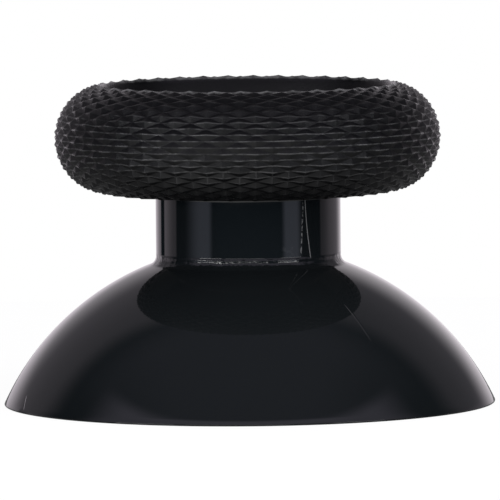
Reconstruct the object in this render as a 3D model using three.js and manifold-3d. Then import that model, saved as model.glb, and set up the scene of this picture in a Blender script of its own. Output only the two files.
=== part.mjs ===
// Thumbstick cap: a glossy moulded stick with a domed skirt and a neck,
// and a soft knurled grip moulded round the disc at its top.
// Millimetres, +Z up, origin on the axis in the plane of the rim.

import * as THREE from 'three';
import { mergeVertices } from 'three/addons/utils/BufferGeometryUtils.js';
import Module from 'manifold-3d';

// Driving dimensions: skirt, a piece of a sphere from the rim up to the neck
const rimRadius = 11.53;
const rimEdgeRadius = 0.06;
const skirtHeight = 6.64;
const skirtWall = 1.0;

// Driving dimensions: neck and the disc that carries the grip
const neckRadius = 4.33;
const neckFootFillet = 0.45;
const neckTopFillet = 0.2;
const discUnderside = 9.9;
const discRadius = 6.2;
const discThickness = 2.0;

// Driving dimensions: boss inside the skirt and its socket for a flatted lever
const bossRadius = 3.2;
const bossFace = 1.0;
const bossRootFillet = 0.4;
const bossEdgeChamfer = 0.15;
const leverDiameter = 4.0;
const leverAcrossFlats = 3.0;
const leverClearance = 0.025;
const leverSeat = 7.6;

// Driving dimensions: soft ring, an oval in section, and the dish inside it
const ringHalfWidth = 2.45;
const ringHalfHeight = 2.57;
const ringCentreRadius = 6.62;
const lipRadius = 6.93;
const lipEdgeInset = 0.08;
const lipEdgeDrop = 0.09;
const dishWallFoot = 6.5;
const dishCornerFillet = 0.5;
const dishDepth = 2.1;
const dishSphereRadius = 28.0;
const gripLandWidth = 0.1;

// Driving dimensions: diamond knurl on the ring
const knurlCount = 36;
const knurlRows = 25;
const knurlRelief = 0.16;
const knurlPhase = THREE.MathUtils.degToRad(-92.5);
const lastRowAngle = THREE.MathUtils.degToRad(-88);

// Each diamond spans two steps of the turning, so every turned shape shares those steps
const turnSteps = 2 * knurlCount;

// Worked out from the dimensions above
const domeCentre = (neckRadius ** 2 + skirtHeight ** 2 - rimRadius ** 2) / (2 * skirtHeight);
const domeSphereRadius = Math.hypot(rimRadius, domeCentre);
const hollowSphereRadius = domeSphereRadius - skirtWall;
const discTop = discUnderside + discThickness;
const ringCentreHeight = discUnderside + ringHalfHeight;
const lipAngle = Math.acos((lipRadius - ringCentreRadius) / ringHalfWidth);
const lipHeight = ringCentreHeight + ringHalfHeight * Math.sin(lipAngle);
const dishBottom = lipHeight - dishDepth;
const landRadius = discRadius + gripLandWidth;

const glossPlastic = new THREE.MeshStandardMaterial({
  name: 'gloss_black',
  color: new THREE.Color(0.02, 0.021, 0.023),
  roughness: 0.08,
  metalness: 0,
});
const softRubber = new THREE.MeshStandardMaterial({
  name: 'soft_black',
  color: new THREE.Color(0.018, 0.018, 0.018),
  roughness: 0.5,
  metalness: 0,
});

// A point of a turned section: distance from the axis, then height
function point(radius, height) {
  return new THREE.Vector2(radius, height);
}

// Points along an arc of a section, both ends included
function arc(centre, radius, from, to, steps) {
  const points = [];
  for (let i = 0; i <= steps; i += 1) {
    const angle = from + (to - from) * i / steps;
    points.push(point(centre.x + radius * Math.cos(angle), centre.y + radius * Math.sin(angle)));
  }
  return points;
}

// Angle of the direction from one section point to another
function angleTo(from, to) {
  return Math.atan2(to.y - from.y, to.x - from.x);
}

// Closed solid from rings of points along a section that starts and ends on the axis and has
// the solid on its right. Each ring holds one section point for every step of the turning.
// A quad is cut along the diagonal that joins the points an odd number of rings and steps
// away from the first point of ring evenRing, which is where the knurl's valleys run.
function ringedSolid(rings, evenRing, firstCentre, lastCentre) {
  const positions = [];
  const indices = [];
  for (const ring of rings) {
    ring.forEach((p, j) => {
      const turn = knurlPhase + 2 * Math.PI * j / turnSteps;
      positions.push(p.x * Math.cos(turn), p.x * Math.sin(turn), p.y);
    });
  }
  const vertex = (i, j) => i * turnSteps + (j % turnSteps);
  for (let i = 0; i + 1 < rings.length; i += 1) {
    for (let j = 0; j < turnSteps; j += 1) {
      const a = vertex(i, j);
      const b = vertex(i, j + 1);
      const c = vertex(i + 1, j + 1);
      const d = vertex(i + 1, j);
      if ((i + j + evenRing) % 2 === 0) {
        indices.push(a, d, b, b, d, c);
      } else {
        indices.push(a, c, b, a, d, c);
      }
    }
  }
  const first = positions.length / 3;
  positions.push(0, 0, firstCentre, 0, 0, lastCentre);
  for (let j = 0; j < turnSteps; j += 1) {
    indices.push(first, vertex(0, j), vertex(0, j + 1));
    indices.push(first + 1, vertex(rings.length - 1, j + 1), vertex(rings.length - 1, j));
  }
  const geometry = new THREE.BufferGeometry();
  geometry.setAttribute('position', new THREE.Float32BufferAttribute(positions, 3));
  geometry.setIndex(indices);
  geometry.computeVertexNormals();
  return geometry;
}

// The same section point at every step of the turning
function plainRing(sectionPoint) {
  return Array(turnSteps).fill(sectionPoint);
}

// One row of the knurl: tips and valleys take turns, and the next row is staggered
function knurlRow(row) {
  const angle = lipAngle + (lastRowAngle - lipAngle) * row / knurlRows;
  return Array.from({ length: turnSteps }, (_, j) => {
    const depth = (row + j) % 2 === 0 ? 0 : knurlRelief;
    const across = (ringHalfWidth - depth) * Math.cos(angle);
    const up = (ringHalfHeight - depth) * Math.sin(angle);
    return point(ringCentreRadius + across, ringCentreHeight + up);
  });
}

// Section of the dish from the lip down its wall and along the concave floor to near the axis
function dishSection() {
  const floorCentre = point(0, dishBottom + dishSphereRadius);
  const cornerRadius = dishWallFoot - dishCornerFillet;
  const reach = dishSphereRadius - dishCornerFillet;
  const cornerCentre = point(cornerRadius, floorCentre.y - Math.sqrt(reach ** 2 - cornerRadius ** 2));
  const cornerAngle = angleTo(floorCentre, cornerCentre);
  const floorEnd = -Math.PI / 2 + 0.25 * (cornerAngle + Math.PI / 2);
  return [
    point(lipRadius - lipEdgeInset, lipHeight - lipEdgeDrop),
    ...arc(cornerCentre, dishCornerFillet, 0, cornerAngle, 4),
    ...arc(floorCentre, dishSphereRadius, cornerAngle, floorEnd, 3).slice(1),
  ];
}

// Soft grip: dish and knurled ring in one skin, with a pocket that fits the disc
function gripGeometry() {
  const dish = dishSection().reverse();
  const knurl = Array.from({ length: knurlRows + 1 }, (_, row) => knurlRow(row));
  const pocket = [
    point(landRadius, discUnderside),
    point(discRadius, discUnderside),
    point(discRadius, discTop),
  ];
  const rings = [...dish.map(plainRing), ...knurl, ...pocket.map(plainRing)];
  return ringedSolid(rings, dish.length, dishBottom, discTop);
}

// Section of the stick from the boss face outwards, over the skirt and up to the disc
function stickSection() {
  const centre = point(0, domeCentre);
  const rootReach = hollowSphereRadius - bossRootFillet;
  const rootRadius = bossRadius + bossRootFillet;
  const root = point(rootRadius, domeCentre + Math.sqrt(rootReach ** 2 - rootRadius ** 2));
  const rootAngle = angleTo(centre, root);
  const hollowRimAngle = Math.asin(-domeCentre / hollowSphereRadius);
  const rimReach = domeSphereRadius - rimEdgeRadius;
  const rimEdgeCentre = Math.sqrt(rimReach ** 2 - (rimEdgeRadius - domeCentre) ** 2);
  const rimEdge = point(rimEdgeCentre, rimEdgeRadius);
  const rimAngle = angleTo(centre, rimEdge);
  const footReach = domeSphereRadius + neckFootFillet;
  const footRadius = neckRadius + neckFootFillet;
  const foot = point(footRadius, domeCentre + Math.sqrt(footReach ** 2 - footRadius ** 2));
  const footAngle = angleTo(centre, foot);
  const top = point(neckRadius + neckTopFillet, discUnderside - neckTopFillet);
  return [
    point(0, bossFace),
    point(bossRadius - bossEdgeChamfer, bossFace),
    point(bossRadius, bossFace + bossEdgeChamfer),
    ...arc(root, bossRootFillet, Math.PI, rootAngle, 4),
    ...arc(centre, hollowSphereRadius, rootAngle, hollowRimAngle, 8).slice(1),
    ...arc(rimEdge, rimEdgeRadius, -Math.PI / 2, rimAngle, 4),
    ...arc(centre, domeSphereRadius, rimAngle, footAngle, 12).slice(1),
    ...arc(foot, neckFootFillet, footAngle - Math.PI, -Math.PI, 4).slice(1),
    ...arc(top, neckTopFillet, Math.PI, Math.PI / 2, 3),
    point(discRadius, discUnderside),
    point(discRadius, discTop),
    point(0, discTop),
  ];
}

// Outline of the socket: a round hole with two flats that face each other across Y
function socketShape() {
  const radius = leverDiameter / 2 + leverClearance;
  const halfFlats = leverAcrossFlats / 2 + leverClearance;
  const flatAngle = Math.asin(halfFlats / radius);
  const shape = new THREE.Shape();
  shape.absarc(0, 0, radius, -flatAngle, flatAngle, false);
  shape.absarc(0, 0, radius, Math.PI - flatAngle, Math.PI + flatAngle, false);
  shape.closePath();
  return shape;
}

const wasm = await Module();
wasm.setup();

// Position-only manifold of a closed geometry
function toManifold(geometry) {
  const bare = geometry.clone();
  bare.deleteAttribute('normal');
  bare.deleteAttribute('uv');
  const merged = mergeVertices(bare, 1e-4);
  return new wasm.Manifold(new wasm.Mesh({
    numProp: 3,
    vertProperties: Float32Array.from(merged.attributes.position.array),
    triVerts: Uint32Array.from(merged.index.array),
  }));
}

function fromManifold(solid) {
  const mesh = solid.getMesh();
  const geometry = new THREE.BufferGeometry();
  geometry.setAttribute('position', new THREE.BufferAttribute(mesh.vertProperties, 3));
  geometry.setIndex(new THREE.BufferAttribute(mesh.triVerts, 1));
  geometry.computeVertexNormals();
  return geometry;
}

// Hard stick: skirt, boss, neck and disc turned as one, then the socket cut up into the boss
function stickGeometry() {
  const turned = new THREE.LatheGeometry(stickSection(), turnSteps, knurlPhase + Math.PI / 2);
  turned.rotateX(Math.PI / 2);
  const margin = 1;
  const socket = new THREE.ExtrudeGeometry(socketShape(), {
    depth: leverSeat - bossFace + margin,
    bevelEnabled: false,
    curveSegments: 12,
  });
  socket.translate(0, 0, bossFace - margin);
  return fromManifold(toManifold(turned).subtract(toManifold(socket)));
}

function piece(name, geometry, material) {
  const mesh = new THREE.Mesh(geometry, material);
  mesh.name = name;
  return mesh;
}

const cap = new THREE.Group();
cap.name = 'thumbstick_cap';
cap.add(piece('stick', stickGeometry(), glossPlastic));
cap.add(piece('grip', gripGeometry(), softRubber));

export default cap;
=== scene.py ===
import math

import bpy
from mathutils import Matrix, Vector


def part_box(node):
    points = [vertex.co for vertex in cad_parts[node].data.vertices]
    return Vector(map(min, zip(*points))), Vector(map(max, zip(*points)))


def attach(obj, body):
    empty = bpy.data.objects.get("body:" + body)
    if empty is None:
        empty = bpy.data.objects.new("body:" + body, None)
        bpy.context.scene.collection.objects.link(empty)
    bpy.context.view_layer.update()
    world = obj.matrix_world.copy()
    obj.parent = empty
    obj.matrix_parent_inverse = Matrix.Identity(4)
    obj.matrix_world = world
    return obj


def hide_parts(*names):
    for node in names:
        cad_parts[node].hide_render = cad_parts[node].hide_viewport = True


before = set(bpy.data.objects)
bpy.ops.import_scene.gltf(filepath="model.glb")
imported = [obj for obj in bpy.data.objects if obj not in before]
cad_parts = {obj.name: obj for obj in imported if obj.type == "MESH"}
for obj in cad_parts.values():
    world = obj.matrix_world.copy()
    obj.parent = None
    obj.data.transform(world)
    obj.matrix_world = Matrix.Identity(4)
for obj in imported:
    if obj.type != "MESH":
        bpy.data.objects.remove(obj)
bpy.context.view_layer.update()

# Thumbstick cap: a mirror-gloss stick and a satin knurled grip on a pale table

MM = 0.001
DEGREE = math.radians(1)
WHITE = (1, 1, 1, 1)
ROUND_STEPS = 96

# Knurl: diamonds round the ring, each two steps wide
KNURL_COUNT = 36
KNURL_STEPS = 2 * KNURL_COUNT
KNURL_STEP = 2 * math.pi / KNURL_STEPS

# Sizes read from the frame, in metres. Its solids are turned in the knurl's steps, with a flat
# towards +X, so their corners reach a little further than their box
stick_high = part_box("stick")[1]
grip_low, grip_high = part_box("grip")
CORNER_REACH = 1 / math.cos(KNURL_STEP / 2)
RIM_REACH = stick_high.x * CORNER_REACH
DISC_UNDERSIDE = grip_low.z
DISC_TOP = stick_high.z
LIP_HEIGHT = grip_high.z

# Skirt and neck. The skirt's outer sphere, carried on down, would meet the table at the rim's
# corner, just outside its rounded edge
RIM_EDGE = 0.06 * MM
RIM_EDGE_INSET = 0.035 * MM
RIM_CORNER = RIM_REACH + RIM_EDGE_INSET
SKIRT_HEIGHT = 6.64 * MM
SKIRT_WALL = 1.0 * MM
NECK_RADIUS = 4.33 * MM
NECK_FOOT_FILLET = 0.45 * MM
NECK_TOP_FILLET = 0.2 * MM
DISC_RADIUS = 6.2 * MM
TURN_STEPS = 256
MERGE_DISTANCE = 0.0005 * MM
STICK_SMOOTH_ANGLE = math.radians(25)

# Boss and socket
BOSS_RADIUS = 3.2 * MM
BOSS_FACE = 1.0 * MM
BOSS_ROOT_FILLET = 0.4 * MM
BOSS_EDGE = 0.15 * MM
SOCKET_RADIUS = 2.025 * MM
SOCKET_HALF_FLATS = 1.525 * MM
SOCKET_END = 7.6 * MM
CUTTER_OVERHANG = 1.0 * MM

# Ring, an oval in section
RING_HALF_WIDTH = 2.45 * MM
RING_HALF_HEIGHT = 2.57 * MM
RING_CENTRE_RADIUS = 6.62 * MM
RING_CENTRE_HEIGHT = DISC_UNDERSIDE + RING_HALF_HEIGHT
LIP_RADIUS = 6.93 * MM
LIP_ANGLE = math.acos((LIP_RADIUS - RING_CENTRE_RADIUS) / RING_HALF_WIDTH)
KNURL_ROWS = 25
KNURL_RELIEF = 0.16 * MM
KNURL_PHASE = math.radians(-92.5)
LAST_ROW_ANGLE = math.radians(-88)
ROW_ANGLE = (LIP_ANGLE - LAST_ROW_ANGLE) / KNURL_ROWS
LAND_WIDTH = 0.1 * MM
RIDGE_WIDTH = 0.04 * MM
GRIP_SMOOTH_ANGLE = math.radians(32)

# How far off the knurl's grid a vertex may lie: in shares of the oval, and in rows
OVAL_TOLERANCE = 0.0005
ROW_TOLERANCE = 0.05

# Dish inside the ring. Its wall bends over to the lip in points at so many insets and drops, and
# its first circle lies a small share of the way out from the middle
DISH_WALL_FOOT = 6.5 * MM
DISH_CORNER_FILLET = 0.5 * MM
DISH_BOTTOM = LIP_HEIGHT - 2.1 * MM
DISH_SPHERE = 28.0 * MM
DISH_MIDDLE_SHARE = 0.04
LIP_EDGE_INSET = 0.08 * MM
LIP_EDGE_DROP = 0.09 * MM
LIP_EDGE_BENDS = ((2.2, 4), (1.3, 1.8), (1, 1))

# Gloss: faint waves, a rippled band at the foot of the neck, and blotches of a duller sheen.
# A span is low, high, and how far its two edges fade
GLOSS_BLACK = (0.0083, 0.01, 0.011, 1)
GLOSS_ROUGHNESS = 0.02
GLOSS_IOR = 1.5
WAVE_SIZE = 3.0 * MM
WAVE_DEPTH = 0.004 * MM
RIPPLE_SIZE = 0.7 * MM
RIPPLE_DEPTH = 0.07 * MM
RIPPLE_SPAN = (6.5 * MM, 7.1 * MM, 0.15 * MM)
BLOTCH_SIZE = 1.6 * MM
BLOTCH_ROUGHNESS = 0.05

# Scratches on the neck: turns in degrees to the right of the front, drifts per millimetre down
SCRATCH_GREY = (0.3, 0.3, 0.3, 1)
SCRATCH_TOP = 9.63 * MM
LONG_SCRATCH_TURN = 37.7
LONG_SCRATCH_DRIFT = 0.568
LONG_SCRATCH_BOW = 0.386
LONG_SCRATCH_WIDTH = 0.035 * MM
LONG_SCRATCH_SPAN = (6.98 * MM, 10.0 * MM, 0.12 * MM)
LONG_SCRATCH_STRENGTH = 0.85
DOTTED_SCRATCH_TURN = 36.1
DOTTED_SCRATCH_DRIFT = -0.8
DOTTED_SCRATCH_WIDTH = 0.05 * MM
DOTTED_SCRATCH_SPAN = (7.05 * MM, 10.0 * MM, 0.1 * MM)
DOTTED_SCRATCH_STRENGTH = 0.7
DOT_SIZE = 0.16 * MM
DOT_FADE = (0.42, 0.56)
SMEAR_TURNS = (17 * DEGREE, 34 * DEGREE, 8 * DEGREE)
SMEAR_SPAN = (6.9 * MM, 7.7 * MM, 0.3 * MM)
SMEAR_STRENGTH = 0.08
STREAK_SIZE = 0.3 * MM
STREAK_FADE = (0.45, 0.7)

# Groove and nick on the dome: where each starts, its turn there, and its drift per metre outwards
GROOVE_DEPTH = 0.012 * MM
GROOVE_START = 7.25 * MM
GROOVE_TURN = 37.0
GROOVE_DRIFT = 0.37 / MM
GROOVE_WIDTH = 0.07 * MM
GROOVE_SPAN = (7.1 * MM, 9.3 * MM, 0.5 * MM)
NICK_START = 11.2 * MM
NICK_TURN = -68.1
NICK_DRIFT = 6.8 / MM
NICK_WIDTH = 0.06 * MM
NICK_SPAN = (11.12 * MM, 11.46 * MM, 0.06 * MM)

# Grip: colours, among them painted shade for the valleys and a pale grey for wear and painted glints,
# and the sizes of its grain, dents, shinier patches, and stretches of wear and painted glints
FACET_BLACK = (0.0045, 0.0046, 0.005, 1)
VALLEY_SHADE_BLACK = (0.0016, 0.0016, 0.0019, 1)
DISH_BLACK = (0.0016, 0.0016, 0.0017, 1)
WEAR_AND_GLINT_GREY = (0.8, 0.8, 0.8, 1)
GRIP_IOR = 1.39
GRAIN_SIZE = 0.05 * MM
GRAIN_DEPTH = 0.004 * MM
DENT_SIZE = 0.22 * MM
DENT_DEPTH = 0.01 * MM
PATCH_SIZE = 0.9 * MM
WEAR_AND_GLINT_SIZE = 0.5 * MM
WEAR_AND_GLINT_FADE = (0.42, 0.57)
WEAR_AND_GLINT_BREAK_STRENGTH = 0.85

# Wear, painted glints and the painted shade of the valleys on the knurl, in rows of its grid, or in
# shares of the ring's half width for the depths
RIDGE_SHINE_FADE = (0.07, 0.17)
RIDGE_WEAR_AND_GLINT_FADE = (0.05, 0.14)
UPRIGHT_ROWS = (13, 16)
UPRIGHT_NARROWING = 7
VALLEY_SHADE_FADE = (0.0, 0.06)
VALLEY_DULL_FADE = (0.05, 0.09)
LIP_FADE = (0.1, 0.35)
LIP_SHINE = 0.6
CREST_ROWS = (-0.4, -0.25, 0.2, 0.6)
CREST_BREAKS = 0.7
CREST_WEAR_AND_HIGHLIGHT = 0.16
DISH_FADE = (6.75 * MM, 6.84 * MM)
RIDGE_WEAR_AND_GLINT = 0.017
MIDDLE_ROWS = (5, 20, 5)
MIDDLE_WEAR_AND_GLINT = 0.055
WORN_ROUGHNESS = 0.06
DULL_ROUGHNESS = 0.3
PATCH_ROUGHNESS = 0.16

# Table: even and white to the camera. The light that it throws on the object comes from its
# front left, and fades out to the back and to the right
TABLE_RADIUS = 60 * MM
TABLE_TOP = -0.01 * MM
TABLE_PAINT = (0.12, 0.12, 0.12, 1)
TABLE_SEEN = (0.93, 0.93, 0.93, 1)
TABLE_DIM = (0.13, 0.13, 0.13, 1)
TABLE_BACK_FADE = (-25 * MM, -8 * MM)
TABLE_RIGHT_FADE = (-12 * MM, 18 * MM)
TABLE_RIGHT_DIMMING = 0.6

# Room that the gloss mirrors: turns in degrees to the right of the front, lifts in degrees up,
# and sides and depths as the parts of a direction along +X and +Y
SIDE_FADE = (-0.12, 0.12)
ROOM_COLOUR = (0.5, 0.8, 1.1, 1)
ROOM_STRENGTH = 0.02
CEILING_COLOUR = (1.02, 0.94, 1.16, 1)
CEILING_MIDDLE = -0.04
CEILING_SIDE_FADE = (0.4, 1.0)
CEILING_DEPTH_FADE = (0.0, 0.4)
CEILING_LIFT_FADE = (28, 40)
CEILING_STRENGTH = 0.1
HIGH_FRONT_DEPTH_FADE = (-0.3, 0.1)
HIGH_FRONT_LIFTS = (14, 45, 6)
HIGH_FRONT_STRENGTH = 0.42
FRONT_COLOUR = (0.5, 0.95, 1.4, 1)
FRONT_TURN_FADE = (35, 60)
FRONT_STRENGTH = 0.04
LOW_LIFT_FADE = (5, 15)
CARD_COLOUR = (0.92, 0.98, 1.2, 1)
LEFT_CARD_TURNS = (-88, -60, -52, -44)
LEFT_CARD_STRENGTH = 0.5
RIGHT_CARD_TURNS = (41, 49, 62, 72)
RIGHT_CARD_STRENGTH = 0.55
SWEEP_COLOUR = (1.05, 0.94, 1.03, 1)
SWEEP_TURN_FADE = (105, 125)
SWEEP_BEND_LIFT = 25
SWEEP_BEND = 0.35
SWEEP_STRENGTH = 0.23
SWEEP_RIGHT_DIMMING = 0.06
LOW_SIDE_TURN_FADE = (100, 104)
LOW_SIDE_STRENGTH = 0.28
LOW_SIDE_RIGHT_DIMMING = 0.1
GAP_TURNS = (-142, -139, -131, -128)
BACK_COLOUR = (1.02, 0.96, 1, 1)
BACK_DEPTH_FADE = (0.77, 0.97)
BACK_STRENGTH = 0.33
BACK_RIGHT_GAIN = 0.3

# Lamps, all at one distance from the ring, in metres
LAMP_DISTANCE = 0.35

# Camera: a long lens that looks slightly down
CAMERA_DISTANCE = 358.2 * MM
CAMERA_PITCH = math.radians(4.36)
CAMERA_ROLL = math.radians(-0.52)
CAMERA_TARGET = Vector((0.07 * MM, 0, 7.16 * MM))
CAMERA_LENS = 550.8
CAMERA_SENSOR = 36
CAMERA_CLIP_START = 0.01


def start_clean():
    """Nothing is selected, and no object is in edit mode."""
    if bpy.context.mode != "OBJECT":
        bpy.ops.object.mode_set(mode="OBJECT")
    bpy.ops.object.select_all(action="DESELECT")


def work_on(piece):
    """Selects one piece, alone, and makes it the active one."""
    start_clean()
    piece.select_set(True)
    bpy.context.view_layer.objects.active = piece


def face_outwards():
    """Turns all faces of the piece in edit mode outwards."""
    bpy.ops.mesh.select_all(action="SELECT")
    bpy.ops.mesh.normals_make_consistent(inside=False)


def arc(centre, radius, start, end, steps):
    """Section points along an arc, both ends included."""
    angles = [start + (end - start) * i / steps for i in range(steps + 1)]
    return [(centre[0] + radius * math.cos(a), centre[1] + radius * math.sin(a)) for a in angles]


def direction(start, end):
    """Angle of the way from one section point to another."""
    return math.atan2(end[1] - start[1], end[0] - start[0])


def turned(name, section, steps, phase=0.0):
    """A turned piece: one filled circle, extruded from section point to section point."""
    start_clean()
    radius, height = section[0]
    bpy.ops.mesh.primitive_circle_add(
        vertices=steps, radius=radius, location=(0, 0, height), rotation=(0, 0, phase)
    )
    piece = bpy.context.object
    piece.name = name
    bpy.ops.object.transform_apply(location=True, rotation=True, scale=True)
    bpy.ops.object.mode_set(mode="EDIT")
    bpy.ops.mesh.select_all(action="SELECT")
    bpy.ops.mesh.edge_face_add()
    bpy.ops.mesh.select_mode(type="EDGE")
    for (r0, z0), (r1, z1) in zip(section, section[1:]):
        bpy.ops.mesh.extrude_region_move(TRANSFORM_OT_translate={"value": (0, 0, z1 - z0)})
        bpy.ops.transform.resize(value=(r1 / r0, r1 / r0, 1), center_override=(0, 0, 0))
    bpy.ops.mesh.select_mode(type="VERT")
    return piece


def stick_section():
    """From the boss face out over the hollow, round the rim and up to the disc's top."""
    centre = (0, (NECK_RADIUS**2 + SKIRT_HEIGHT**2 - RIM_CORNER**2) / (2 * SKIRT_HEIGHT))
    sphere = math.hypot(RIM_CORNER, centre[1])
    hollow = sphere - SKIRT_WALL

    def on_sphere(radius, reach):
        return (radius, centre[1] + math.sqrt(reach**2 - radius**2))

    root = on_sphere(BOSS_RADIUS + BOSS_ROOT_FILLET, hollow - BOSS_ROOT_FILLET)
    foot = on_sphere(NECK_RADIUS + NECK_FOOT_FILLET, sphere + NECK_FOOT_FILLET)
    rim = (math.sqrt((sphere - RIM_EDGE) ** 2 - (RIM_EDGE - centre[1]) ** 2), RIM_EDGE)
    top = (NECK_RADIUS + NECK_TOP_FILLET, DISC_UNDERSIDE - NECK_TOP_FILLET)
    edge = (BOSS_RADIUS - BOSS_EDGE, BOSS_FACE + BOSS_EDGE)
    root_angle = direction(centre, root)
    hollow_rim_angle = math.asin(-centre[1] / hollow)
    rim_angle = direction(centre, rim)
    foot_angle = direction(centre, foot)
    return [
        (BOSS_RADIUS - BOSS_EDGE, BOSS_FACE),
        *arc(edge, BOSS_EDGE, -math.pi / 3, 0, steps=3),
        *arc(root, BOSS_ROOT_FILLET, math.pi, root_angle, steps=8),
        *arc(centre, hollow, root_angle, hollow_rim_angle, steps=20)[1:],
        *arc(rim, RIM_EDGE, -math.pi / 2, rim_angle, steps=6),
        *arc(centre, sphere, rim_angle, foot_angle, steps=36)[1:],
        *arc(foot, NECK_FOOT_FILLET, foot_angle - math.pi, -math.pi, steps=10)[1:],
        *arc(top, NECK_TOP_FILLET, math.pi, math.pi / 2, steps=8),
        (DISC_RADIUS, DISC_UNDERSIDE),
        (DISC_RADIUS, DISC_TOP),
    ]


def socket_cutter():
    """A rod as round as the socket, cut flat on two sides."""
    start_clean()
    length = SOCKET_END - BOSS_FACE + CUTTER_OVERHANG
    bpy.ops.mesh.primitive_cylinder_add(
        vertices=ROUND_STEPS,
        radius=SOCKET_RADIUS,
        depth=length,
        location=(0, 0, SOCKET_END - length / 2),
    )
    cutter = bpy.context.object
    bpy.ops.object.transform_apply(location=True, rotation=True, scale=True)
    bpy.ops.object.mode_set(mode="EDIT")
    for side in (1, -1):
        bpy.ops.mesh.select_all(action="SELECT")
        bpy.ops.mesh.bisect(
            plane_co=(0, side * SOCKET_HALF_FLATS, 0),
            plane_no=(0, side, 0),
            use_fill=True,
            clear_outer=True,
        )
    bpy.ops.object.mode_set(mode="OBJECT")
    return cutter


def make_stick():
    """The hard moulding: turned in one go, closed at the disc's top, with the socket cut in."""
    stick = turned("gloss_stick", stick_section(), TURN_STEPS)
    bpy.ops.mesh.edge_face_add()
    bpy.ops.mesh.select_all(action="SELECT")
    bpy.ops.mesh.remove_doubles(threshold=MERGE_DISTANCE)
    face_outwards()
    bpy.ops.object.mode_set(mode="OBJECT")
    cutter = socket_cutter()
    work_on(stick)
    cut = stick.modifiers.new("socket", "BOOLEAN")
    cut.operation = "DIFFERENCE"
    cut.object = cutter
    cut.solver = "EXACT"
    bpy.ops.object.modifier_apply(modifier=cut.name)
    bpy.data.objects.remove(cutter)
    # The cut leaves a few faces twice: one of each pair is deleted, and the other turned outwards
    stick.data.validate()
    bpy.ops.object.mode_set(mode="EDIT")
    face_outwards()
    bpy.ops.object.mode_set(mode="OBJECT")
    bpy.ops.object.shade_smooth_by_angle(angle=STICK_SMOOTH_ANGLE)
    return stick


def ring_point(angle, depth=0.0):
    """A point of the ring's section, depth metres below its surface."""
    return (
        RING_CENTRE_RADIUS + (RING_HALF_WIDTH - depth) * math.cos(angle),
        RING_CENTRE_HEIGHT + (RING_HALF_HEIGHT - depth) * math.sin(angle),
    )


def grip_section():
    """From the middle of the dish out to the lip, down the ring and into the disc's pocket."""
    floor_centre = (0, DISH_BOTTOM + DISH_SPHERE)
    corner_radius = DISH_WALL_FOOT - DISH_CORNER_FILLET
    reach = DISH_SPHERE - DISH_CORNER_FILLET
    corner = (corner_radius, floor_centre[1] - math.sqrt(reach**2 - corner_radius**2))
    corner_angle = direction(floor_centre, corner)
    middle = -math.pi / 2
    first_angle = middle + DISH_MIDDLE_SHARE * (corner_angle - middle)
    lip_edge = [
        (LIP_RADIUS - insets * LIP_EDGE_INSET, LIP_HEIGHT - drops * LIP_EDGE_DROP)
        for insets, drops in LIP_EDGE_BENDS
    ]
    dish = [
        *arc(floor_centre, DISH_SPHERE, first_angle, corner_angle, steps=8),
        *arc(corner, DISH_CORNER_FILLET, corner_angle, 0, steps=8)[1:],
        *lip_edge,
    ]
    rows = [LIP_ANGLE - ROW_ANGLE * row for row in range(KNURL_ROWS + 1)]
    knurl = [ring_point(angle, KNURL_RELIEF) for angle in rows]
    pocket = [
        (DISC_RADIUS + LAND_WIDTH, DISC_UNDERSIDE),
        (DISC_RADIUS, DISC_UNDERSIDE),
        (DISC_RADIUS, DISC_TOP),
    ]
    return dish + knurl + pocket


def grid_place(vertex):
    """Row and step of a knurl vertex, or nothing where the vertex isn't on the knurl."""
    reach = math.hypot(vertex.co.x, vertex.co.y)
    across = (reach - RING_CENTRE_RADIUS) / (RING_HALF_WIDTH - KNURL_RELIEF)
    up = (vertex.co.z - RING_CENTRE_HEIGHT) / (RING_HALF_HEIGHT - KNURL_RELIEF)
    if abs(math.hypot(across, up) - 1) > OVAL_TOLERANCE:
        return None
    row = (LIP_ANGLE - math.atan2(up, across)) / ROW_ANGLE
    step = (math.atan2(vertex.co.y, vertex.co.x) - KNURL_PHASE) / KNURL_STEP
    if abs(row - round(row)) > ROW_TOLERANCE or not 0 <= round(row) <= KNURL_ROWS:
        return None
    return round(row), round(step)


def raise_knurl(mesh):
    """Draws valleys from valley point to valley point, raises the tips, and selects the ridges."""
    places = {v.index: grid_place(v) for v in mesh.vertices}
    on_knurl = {i: p for i, p in places.items() if p is not None}
    tips = {i for i, (row, step) in on_knurl.items() if (row + step) % 2 == 0}
    for vertex in mesh.vertices:
        vertex.select = vertex.index in on_knurl and vertex.index not in tips
    bpy.ops.object.mode_set(mode="EDIT")
    bpy.ops.mesh.vert_connect()
    bpy.ops.mesh.select_all(action="DESELECT")
    bpy.ops.object.mode_set(mode="OBJECT")
    for index in tips:
        vertex = mesh.vertices[index]
        reach, height = ring_point(LIP_ANGLE - ROW_ANGLE * on_knurl[index][0])
        vertex.co = Vector((vertex.co.x, vertex.co.y, 0)).normalized() * reach
        vertex.co.z = height
    for edge in mesh.edges:
        ends = [i for i in edge.vertices if i in on_knurl]
        edge.select = len(ends) == 2 and len(tips.intersection(ends)) == 1


def make_grip():
    """The soft moulding: turned in the knurl's steps, then given its diamonds and rounded ridges."""
    grip = turned("knurled_grip", grip_section(), KNURL_STEPS, KNURL_STEP / 2)
    bpy.ops.mesh.edge_face_add()
    face_outwards()
    bpy.ops.mesh.select_all(action="DESELECT")
    bpy.ops.object.mode_set(mode="OBJECT")
    raise_knurl(grip.data)
    bpy.ops.object.mode_set(mode="EDIT")
    bpy.ops.mesh.select_mode(type="EDGE")
    bpy.ops.mesh.bevel(offset=RIDGE_WIDTH, segments=2, affect="EDGES", clamp_overlap=True)
    bpy.ops.mesh.select_mode(type="VERT")
    bpy.ops.object.mode_set(mode="OBJECT")
    work_on(grip)
    bpy.ops.object.shade_smooth_by_angle(angle=GRIP_SMOOTH_ANGLE)
    flats = grip.modifiers.new("flat_facets", "WEIGHTED_NORMAL")
    flats.keep_sharp = True
    bpy.ops.object.modifier_apply(modifier=flats.name)
    return grip


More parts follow.
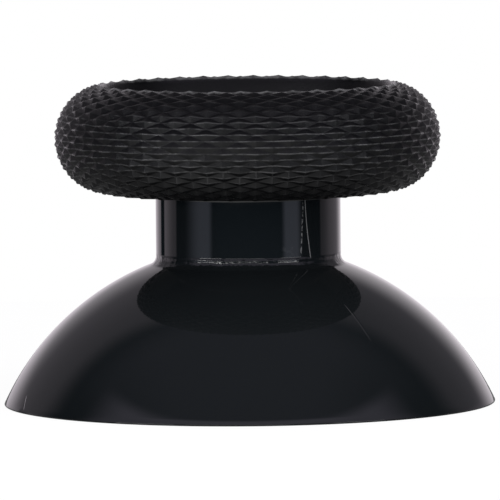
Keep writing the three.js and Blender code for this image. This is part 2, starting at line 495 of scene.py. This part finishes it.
class Wire:
    """One value of a shader: Python's operators on it add Math nodes."""

    def __init__(self, shader, socket):
        self.shader = shader
        self.socket = socket

    def math(self, operation, *others, clamp=False):
        settings = {"operation": operation, "use_clamp": clamp}
        return self.shader.node("ShaderNodeMath", settings, {0: self, **dict(enumerate(others, 1))})

    def __add__(self, other):
        return self.math("ADD", other)

    __radd__ = __add__

    def __mul__(self, other):
        return self.math("MULTIPLY", other)

    __rmul__ = __mul__

    def __sub__(self, other):
        return self.math("SUBTRACT", other)

    def __rsub__(self, other):
        return self * -1 + other

    def __truediv__(self, other):
        return self.math("DIVIDE", other)

    def __abs__(self):
        return self.math("ABSOLUTE")

    def clipped(self):
        return self.math("ADD", 0.0, clamp=True)

    def ramp(self, low, high):
        """0 below low, 1 above high, and smooth between."""
        sockets = {"Value": self, "From Min": low, "From Max": high}
        return self.shader.node("ShaderNodeMapRange", {"interpolation_type": "SMOOTHSTEP"}, sockets)

    def band(self, start, full, fading, end):
        """0 outside start and end, 1 between full and fading, and smooth between those."""
        return self.ramp(start, full) * (1 - self.ramp(fading, end))

    def window(self, low, high, edge):
        """A band from low to high whose two edges fade over the same width."""
        return self.band(low, low + edge, high - edge, high)

    def line(self, width, core=0.25):
        """1 within a core of the width from 0, and 0 from the full width away."""
        return 1 - abs(self).ramp(core * width, width)

    def to_whole(self):
        """How far the value is from the nearest whole number."""
        return abs(self - self.math("ROUND"))


class Shader:
    """The node tree of one material or world, emptied but for its output node."""

    def __init__(self, tree, output):
        tree.nodes.clear()
        self.tree = tree
        self.output = tree.nodes.new(output)

    def node(self, kind, settings=None, sockets=None, output=0):
        """Adds a node, sets it up, fills its sockets, and returns one of its outputs."""
        node = self.tree.nodes.new(kind)
        for name, value in (settings or {}).items():
            setattr(node, name, value)
        for name, value in (sockets or {}).items():
            if isinstance(value, Wire):
                self.tree.links.new(value.socket, node.inputs[name])
            else:
                node.inputs[name].default_value = value
        return Wire(self, node.outputs[output])

    def place(self):
        return self.node("ShaderNodeTexCoord", output="Object")

    def parts(self, vector):
        """The three numbers of a vector."""
        split = self.node("ShaderNodeSeparateXYZ", None, {0: vector}).socket.node
        return [Wire(self, split.outputs[i]) for i in range(3)]

    def around(self):
        """Angle from the front (-Y) round to the right (+X), distance from the axis, and height."""
        x, y, z = self.parts(self.place())
        return x.math("ARCTAN2", y * -1), (x * x + y * y).math("SQRT"), z

    def mix(self, share, first, second):
        """A colour that goes from the first to the second as the share goes from 0 to 1."""
        sockets = {0: share, 6: first, 7: second}
        return self.node("ShaderNodeMix", {"data_type": "RGBA"}, sockets, output=2)

    def noise(self, size, detail=3.0, roughness=0.5):
        """Noise from 0 to 1 whose blotches are about size metres wide."""
        sockets = {"Vector": self.place(), "Scale": 1 / size, "Detail": detail, "Roughness": roughness}
        return self.node("ShaderNodeTexNoise", None, sockets)

    def bump(self, height, depth, normal=None):
        """Normal of a surface that height, from 0 to 1, lifts by up to depth metres."""
        sockets = {"Height": height, "Distance": depth, "Strength": 1.0}
        if normal is not None:
            sockets["Normal"] = normal
        return self.node("ShaderNodeBump", None, sockets)

    def together(self, first, second):
        """The light of two shaders, added."""
        return self.node("ShaderNodeAddShader", None, {0: first, 1: second})

    def show(self, surface):
        """Links a finished shader to the output."""
        self.tree.links.new(surface.socket, self.output.inputs["Surface"])

    def show_principled(self, colour, roughness, ior, normal):
        sockets = {"Base Color": colour, "Roughness": roughness, "IOR": ior, "Normal": normal}
        self.show(self.node("ShaderNodeBsdfPrincipled", None, sockets))


def new_material(name):
    """A material, and the shader that fills its node tree."""
    material = bpy.data.materials.new(name)
    material.use_nodes = True
    return material, Shader(material.node_tree, "ShaderNodeOutputMaterial")


def fine_mark(turn, reach, place, width, along, span):
    """A fine line at a place in degrees round from the front, over a span of another measure."""
    return ((turn - place * DEGREE) * reach).line(width) * along.window(*span)


def neck_scratches(shader):
    """How pale the neck is scratched: a long bowed scratch, a dotted one, and a faint smear."""
    turn, reach, z = shader.around()
    drop = (SCRATCH_TOP - z) * (1 / MM)
    bowed = (drop * LONG_SCRATCH_BOW + LONG_SCRATCH_DRIFT) * drop + LONG_SCRATCH_TURN
    leaning = drop * DOTTED_SCRATCH_DRIFT + DOTTED_SCRATCH_TURN
    long_scratch = fine_mark(turn, reach, bowed, LONG_SCRATCH_WIDTH, z, LONG_SCRATCH_SPAN)
    dotted = fine_mark(turn, reach, leaning, DOTTED_SCRATCH_WIDTH, z, DOTTED_SCRATCH_SPAN)
    dotted = dotted * shader.noise(DOT_SIZE, detail=1.0).ramp(*DOT_FADE)
    streaks = shader.noise(STREAK_SIZE, detail=3.0).ramp(*STREAK_FADE)
    smear = turn.window(*SMEAR_TURNS) * z.window(*SMEAR_SPAN) * streaks
    scratches = long_scratch * LONG_SCRATCH_STRENGTH + dotted * DOTTED_SCRATCH_STRENGTH
    return (scratches + smear * SMEAR_STRENGTH).clipped()


def dome_grooves(shader):
    """The fine groove down the right of the dome, and the nick at the left of its rim."""
    turn, reach, z = shader.around()
    groove_place = (reach - GROOVE_START) * GROOVE_DRIFT + GROOVE_TURN
    groove = fine_mark(turn, reach, groove_place, GROOVE_WIDTH, reach, GROOVE_SPAN)
    nick_place = (reach - NICK_START) * NICK_DRIFT + NICK_TURN
    nick = fine_mark(turn, reach, nick_place, NICK_WIDTH, reach, NICK_SPAN)
    return groove + nick


def gloss_plastic():
    """Black plastic from a polished mould: a mirror with faint waves, and a few marks of use."""
    material, shader = new_material("gloss_plastic")
    turn, reach, z = shader.around()
    waves = shader.noise(WAVE_SIZE, detail=1.0)
    ripples = shader.noise(RIPPLE_SIZE, detail=4.0) * z.window(*RIPPLE_SPAN)
    blotches = shader.noise(BLOTCH_SIZE, detail=4.0, roughness=0.6)
    normal = shader.bump(waves, WAVE_DEPTH)
    normal = shader.bump(ripples, RIPPLE_DEPTH, normal)
    normal = shader.bump(1 - dome_grooves(shader), GROOVE_DEPTH, normal)
    colour = shader.mix(neck_scratches(shader), GLOSS_BLACK, SCRATCH_GREY)
    roughness = blotches * BLOTCH_ROUGHNESS + GLOSS_ROUGHNESS
    shader.show_principled(colour, roughness, GLOSS_IOR, normal)
    return material


def knurl_place(turn, reach, z):
    """Row and step of the knurl's grid, and how deep below the ring's surface a place lies."""
    across = (reach - RING_CENTRE_RADIUS) / RING_HALF_WIDTH
    up = (z - RING_CENTRE_HEIGHT) / RING_HALF_HEIGHT
    row = (up.math("ARCTAN2", across) * -1 + LIP_ANGLE) / ROW_ANGLE
    step = (turn - math.pi / 2 - KNURL_PHASE) / KNURL_STEP
    depth = 1 - (across * across + up * up).math("SQRT")
    return row, step, depth


def soft_rubber():
    """Black elastomer with a fine grain: dull facets, ridges worn shinier, ridges and lip painted
    paler as wear and as painted glints, and valleys painted darker as shade.
    """
    material, shader = new_material("soft_grip")
    turn, reach, z = shader.around()
    row, step, depth = knurl_place(turn, reach, z)
    dish = 1 - reach.ramp(*DISH_FADE)

    # The ridges along the rows are worn shinier and painted paler as wear and glints, from the middle
    # down those along the columns too
    upright = step.to_whole() * UPRIGHT_NARROWING + 1 - row.ramp(*UPRIGHT_ROWS)
    from_ridge = row.to_whole().math("MINIMUM", upright)
    # Noise that breaks up both the worn shine of the ridges and their painted glints
    wear_and_glint_breaks = shader.noise(WEAR_AND_GLINT_SIZE, detail=3.0).ramp(*WEAR_AND_GLINT_FADE) * WEAR_AND_GLINT_BREAK_STRENGTH

    # Shine of the ridges and the lip
    dull = from_ridge.ramp(*RIDGE_SHINE_FADE).math("MAXIMUM", wear_and_glint_breaks)
    dull = dull.math("MAXIMUM", depth.ramp(*VALLEY_DULL_FADE))
    lip = 1 - row.ramp(*LIP_FADE)
    dull = (dull * (1 - lip * LIP_SHINE)).math("MAXIMUM", dish)
    patches = shader.noise(PATCH_SIZE, detail=3.0)
    roughness = dull * DULL_ROUGHNESS + patches * PATCH_ROUGHNESS + WORN_ROUGHNESS

    # Paler ridges, most of all in the middle rows, and a paler crest on the lip: wear, and painted
    # highlights that stand in for glints
    # Painted highlight: the lip's crest is coloured pale, as wear and as a glint
    crest = row.band(*CREST_ROWS) * (1 - wear_and_glint_breaks * CREST_BREAKS)
    # Painted glints: the ridges are coloured paler, as wear and as highlights
    pale_wear_and_glint = (1 - from_ridge.ramp(*RIDGE_WEAR_AND_GLINT_FADE)) * (1 - wear_and_glint_breaks)
    pale_wear_and_glint = pale_wear_and_glint * (row.window(*MIDDLE_ROWS) * MIDDLE_WEAR_AND_GLINT + RIDGE_WEAR_AND_GLINT)
    # Painted shade: the knurl's valleys are coloured darker than its facets
    colour = shader.mix(depth.ramp(*VALLEY_SHADE_FADE), FACET_BLACK, VALLEY_SHADE_BLACK)
    colour = shader.mix(pale_wear_and_glint.math("MAXIMUM", crest * CREST_WEAR_AND_HIGHLIGHT), colour, WEAR_AND_GLINT_GREY)
    colour = shader.mix(dish, colour, DISH_BLACK)

    dents = shader.bump(shader.noise(DENT_SIZE, detail=2.0), DENT_DEPTH)
    normal = shader.bump(shader.noise(GRAIN_SIZE, detail=2.0), GRAIN_DEPTH, dents)
    shader.show_principled(colour, roughness, GRIP_IOR, normal)
    return material


def dress(piece, material, node):
    """Gives a finished piece its material and its body, and hides the node that it stands for."""
    piece.data.materials.clear()
    piece.data.materials.append(material)
    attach(piece, "root")
    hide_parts(node)


def make_floor():
    """A round table top, as white as the backdrop, that keeps a faint shadow."""
    start_clean()
    bpy.ops.mesh.primitive_circle_add(
        vertices=ROUND_STEPS, radius=TABLE_RADIUS, location=(0, 0, TABLE_TOP), fill_type="NGON"
    )
    floor = bpy.context.object
    floor.name = "floor"
    bpy.ops.object.transform_apply(location=True, rotation=True, scale=True)
    material, shader = new_material("pale_floor")
    x, y, z = shader.parts(shader.place())
    lit = (1 - y.ramp(*TABLE_BACK_FADE)) * (1 - x.ramp(*TABLE_RIGHT_FADE) * TABLE_RIGHT_DIMMING)
    seen = shader.node("ShaderNodeLightPath", output="Is Camera Ray")
    colour = shader.mix(seen, shader.mix(lit, TABLE_DIM, WHITE), TABLE_SEEN)
    glow = shader.node("ShaderNodeEmission", None, {"Color": colour, "Strength": 1.0})
    paint = shader.node("ShaderNodeBsdfDiffuse", None, {"Color": TABLE_PAINT})
    shader.show(shader.together(paint, glow))
    floor.data.materials.append(material)


def room_light(shader):
    """The dim room: light high in front, cards low at the front, and a pale sweep at the back."""
    x, y, z = shader.parts(shader.node("ShaderNodeTexCoord", output="Generated"))
    turn = x.math("ARCTAN2", y * -1) / DEGREE
    lift = z.math("ARCSINE") / DEGREE
    aside = abs(turn)
    to_right = x.ramp(*SIDE_FADE)
    low = 1 - lift.ramp(*LOW_LIFT_FADE)

    high_front = (1 - y.ramp(*HIGH_FRONT_DEPTH_FADE)) * lift.window(*HIGH_FRONT_LIFTS)
    ceiling = (1 - abs(x - CEILING_MIDDLE).ramp(*CEILING_SIDE_FADE)) * lift.ramp(*CEILING_LIFT_FADE)
    ceiling = ceiling * (1 - y.ramp(*CEILING_DEPTH_FADE))
    ceiling = ceiling * CEILING_STRENGTH + high_front * HIGH_FRONT_STRENGTH

    front = (1 - aside.ramp(*FRONT_TURN_FADE)) * low * FRONT_STRENGTH
    left_card = turn.band(*LEFT_CARD_TURNS) * LEFT_CARD_STRENGTH
    right_card = turn.band(*RIGHT_CARD_TURNS) * RIGHT_CARD_STRENGTH
    cards = (left_card + right_card) * low

    bend = (lift - SWEEP_BEND_LIFT).math("MAXIMUM", 0.0) * SWEEP_BEND
    sweep = (aside - bend).ramp(*SWEEP_TURN_FADE)
    sweep = sweep * (SWEEP_STRENGTH - to_right * SWEEP_RIGHT_DIMMING)
    low_sides = aside.ramp(*LOW_SIDE_TURN_FADE) * low
    low_sides = low_sides * (LOW_SIDE_STRENGTH - to_right * LOW_SIDE_RIGHT_DIMMING)
    sweep = (sweep + low_sides) * (1 - turn.band(*GAP_TURNS) * low)
    back = y.ramp(*BACK_DEPTH_FADE) * (to_right * BACK_RIGHT_GAIN + BACK_STRENGTH)

    room = plain_light(shader, ROOM_COLOUR, ROOM_STRENGTH)
    lights = [
        (CEILING_COLOUR, ceiling),
        (FRONT_COLOUR, front),
        (CARD_COLOUR, cards),
        (SWEEP_COLOUR, sweep),
        (BACK_COLOUR, back),
    ]
    for colour, strength in lights:
        room = shader.together(room, plain_light(shader, colour, strength))
    return room


def plain_light(shader, colour, strength):
    return shader.node("ShaderNodeBackground", None, {"Color": colour, "Strength": strength})


def make_world():
    """White wherever the camera looks, and a dim room for every other ray."""
    world = bpy.data.worlds.new("studio")
    bpy.context.scene.world = world
    world.use_nodes = True
    shader = Shader(world.node_tree, "ShaderNodeOutputWorld")
    seen = shader.node("ShaderNodeLightPath", output="Is Camera Ray")
    sockets = {0: seen, 1: room_light(shader), 2: plain_light(shader, WHITE, 1.0)}
    shader.show(shader.node("ShaderNodeMixShader", None, sockets))


def softbox(name, azimuth, elevation, width, height, brightness):
    """A soft lamp that points at the ring, azimuth degrees to the right of the front."""
    start_clean()
    azimuth = math.radians(azimuth)
    elevation = math.radians(elevation)
    aim = Vector((0, 0, RING_CENTRE_HEIGHT))
    way = Vector(
        (
            math.sin(azimuth) * math.cos(elevation),
            -math.cos(azimuth) * math.cos(elevation),
            math.sin(elevation),
        )
    )
    bpy.ops.object.light_add(type="AREA", location=aim + way * LAMP_DISTANCE)
    lamp = bpy.context.object
    lamp.name = name
    lamp.rotation_euler = way.to_track_quat("Z", "Y").to_euler()
    lamp.visible_camera = False
    lamp.data.shape = "RECTANGLE"
    lamp.data.size = width
    lamp.data.size_y = height
    lamp.data.energy = brightness * math.pi * width * height
    return lamp


def make_lights():
    """Three narrow lamps that show as highlights, and a wide one that the gloss doesn't mirror."""
    softbox("softbox_left", azimuth=-50, elevation=10, width=0.18, height=0.03, brightness=8.0)
    softbox("softbox_right", azimuth=52, elevation=10, width=0.16, height=0.03, brightness=5.7)
    softbox("fill_panel", azimuth=-6, elevation=10, width=0.31, height=0.03, brightness=3.7)
    wash = softbox("wash", azimuth=18, elevation=45, width=0.4, height=0.4, brightness=1.8)
    wash.visible_glossy = False


def make_camera():
    start_clean()
    way = Vector((0, -math.cos(CAMERA_PITCH), math.sin(CAMERA_PITCH)))
    bpy.ops.object.camera_add(location=CAMERA_TARGET + way * CAMERA_DISTANCE)
    camera = bpy.context.object
    turn = way.to_track_quat("Z", "Y").to_matrix().to_4x4()
    camera.matrix_world = (
        camera.matrix_world.Translation(camera.location)
        @ turn
        @ turn.Rotation(CAMERA_ROLL, 4, "Z")
    )
    camera.data.lens = CAMERA_LENS
    camera.data.sensor_width = CAMERA_SENSOR
    camera.data.clip_start = CAMERA_CLIP_START
    bpy.context.scene.camera = camera


bpy.context.scene.view_settings.view_transform = "Standard"
make_camera()
dress(make_stick(), gloss_plastic(), "stick")
dress(make_grip(), soft_rubber(), "grip")
make_floor()
make_world()
make_lights()

start_clean()
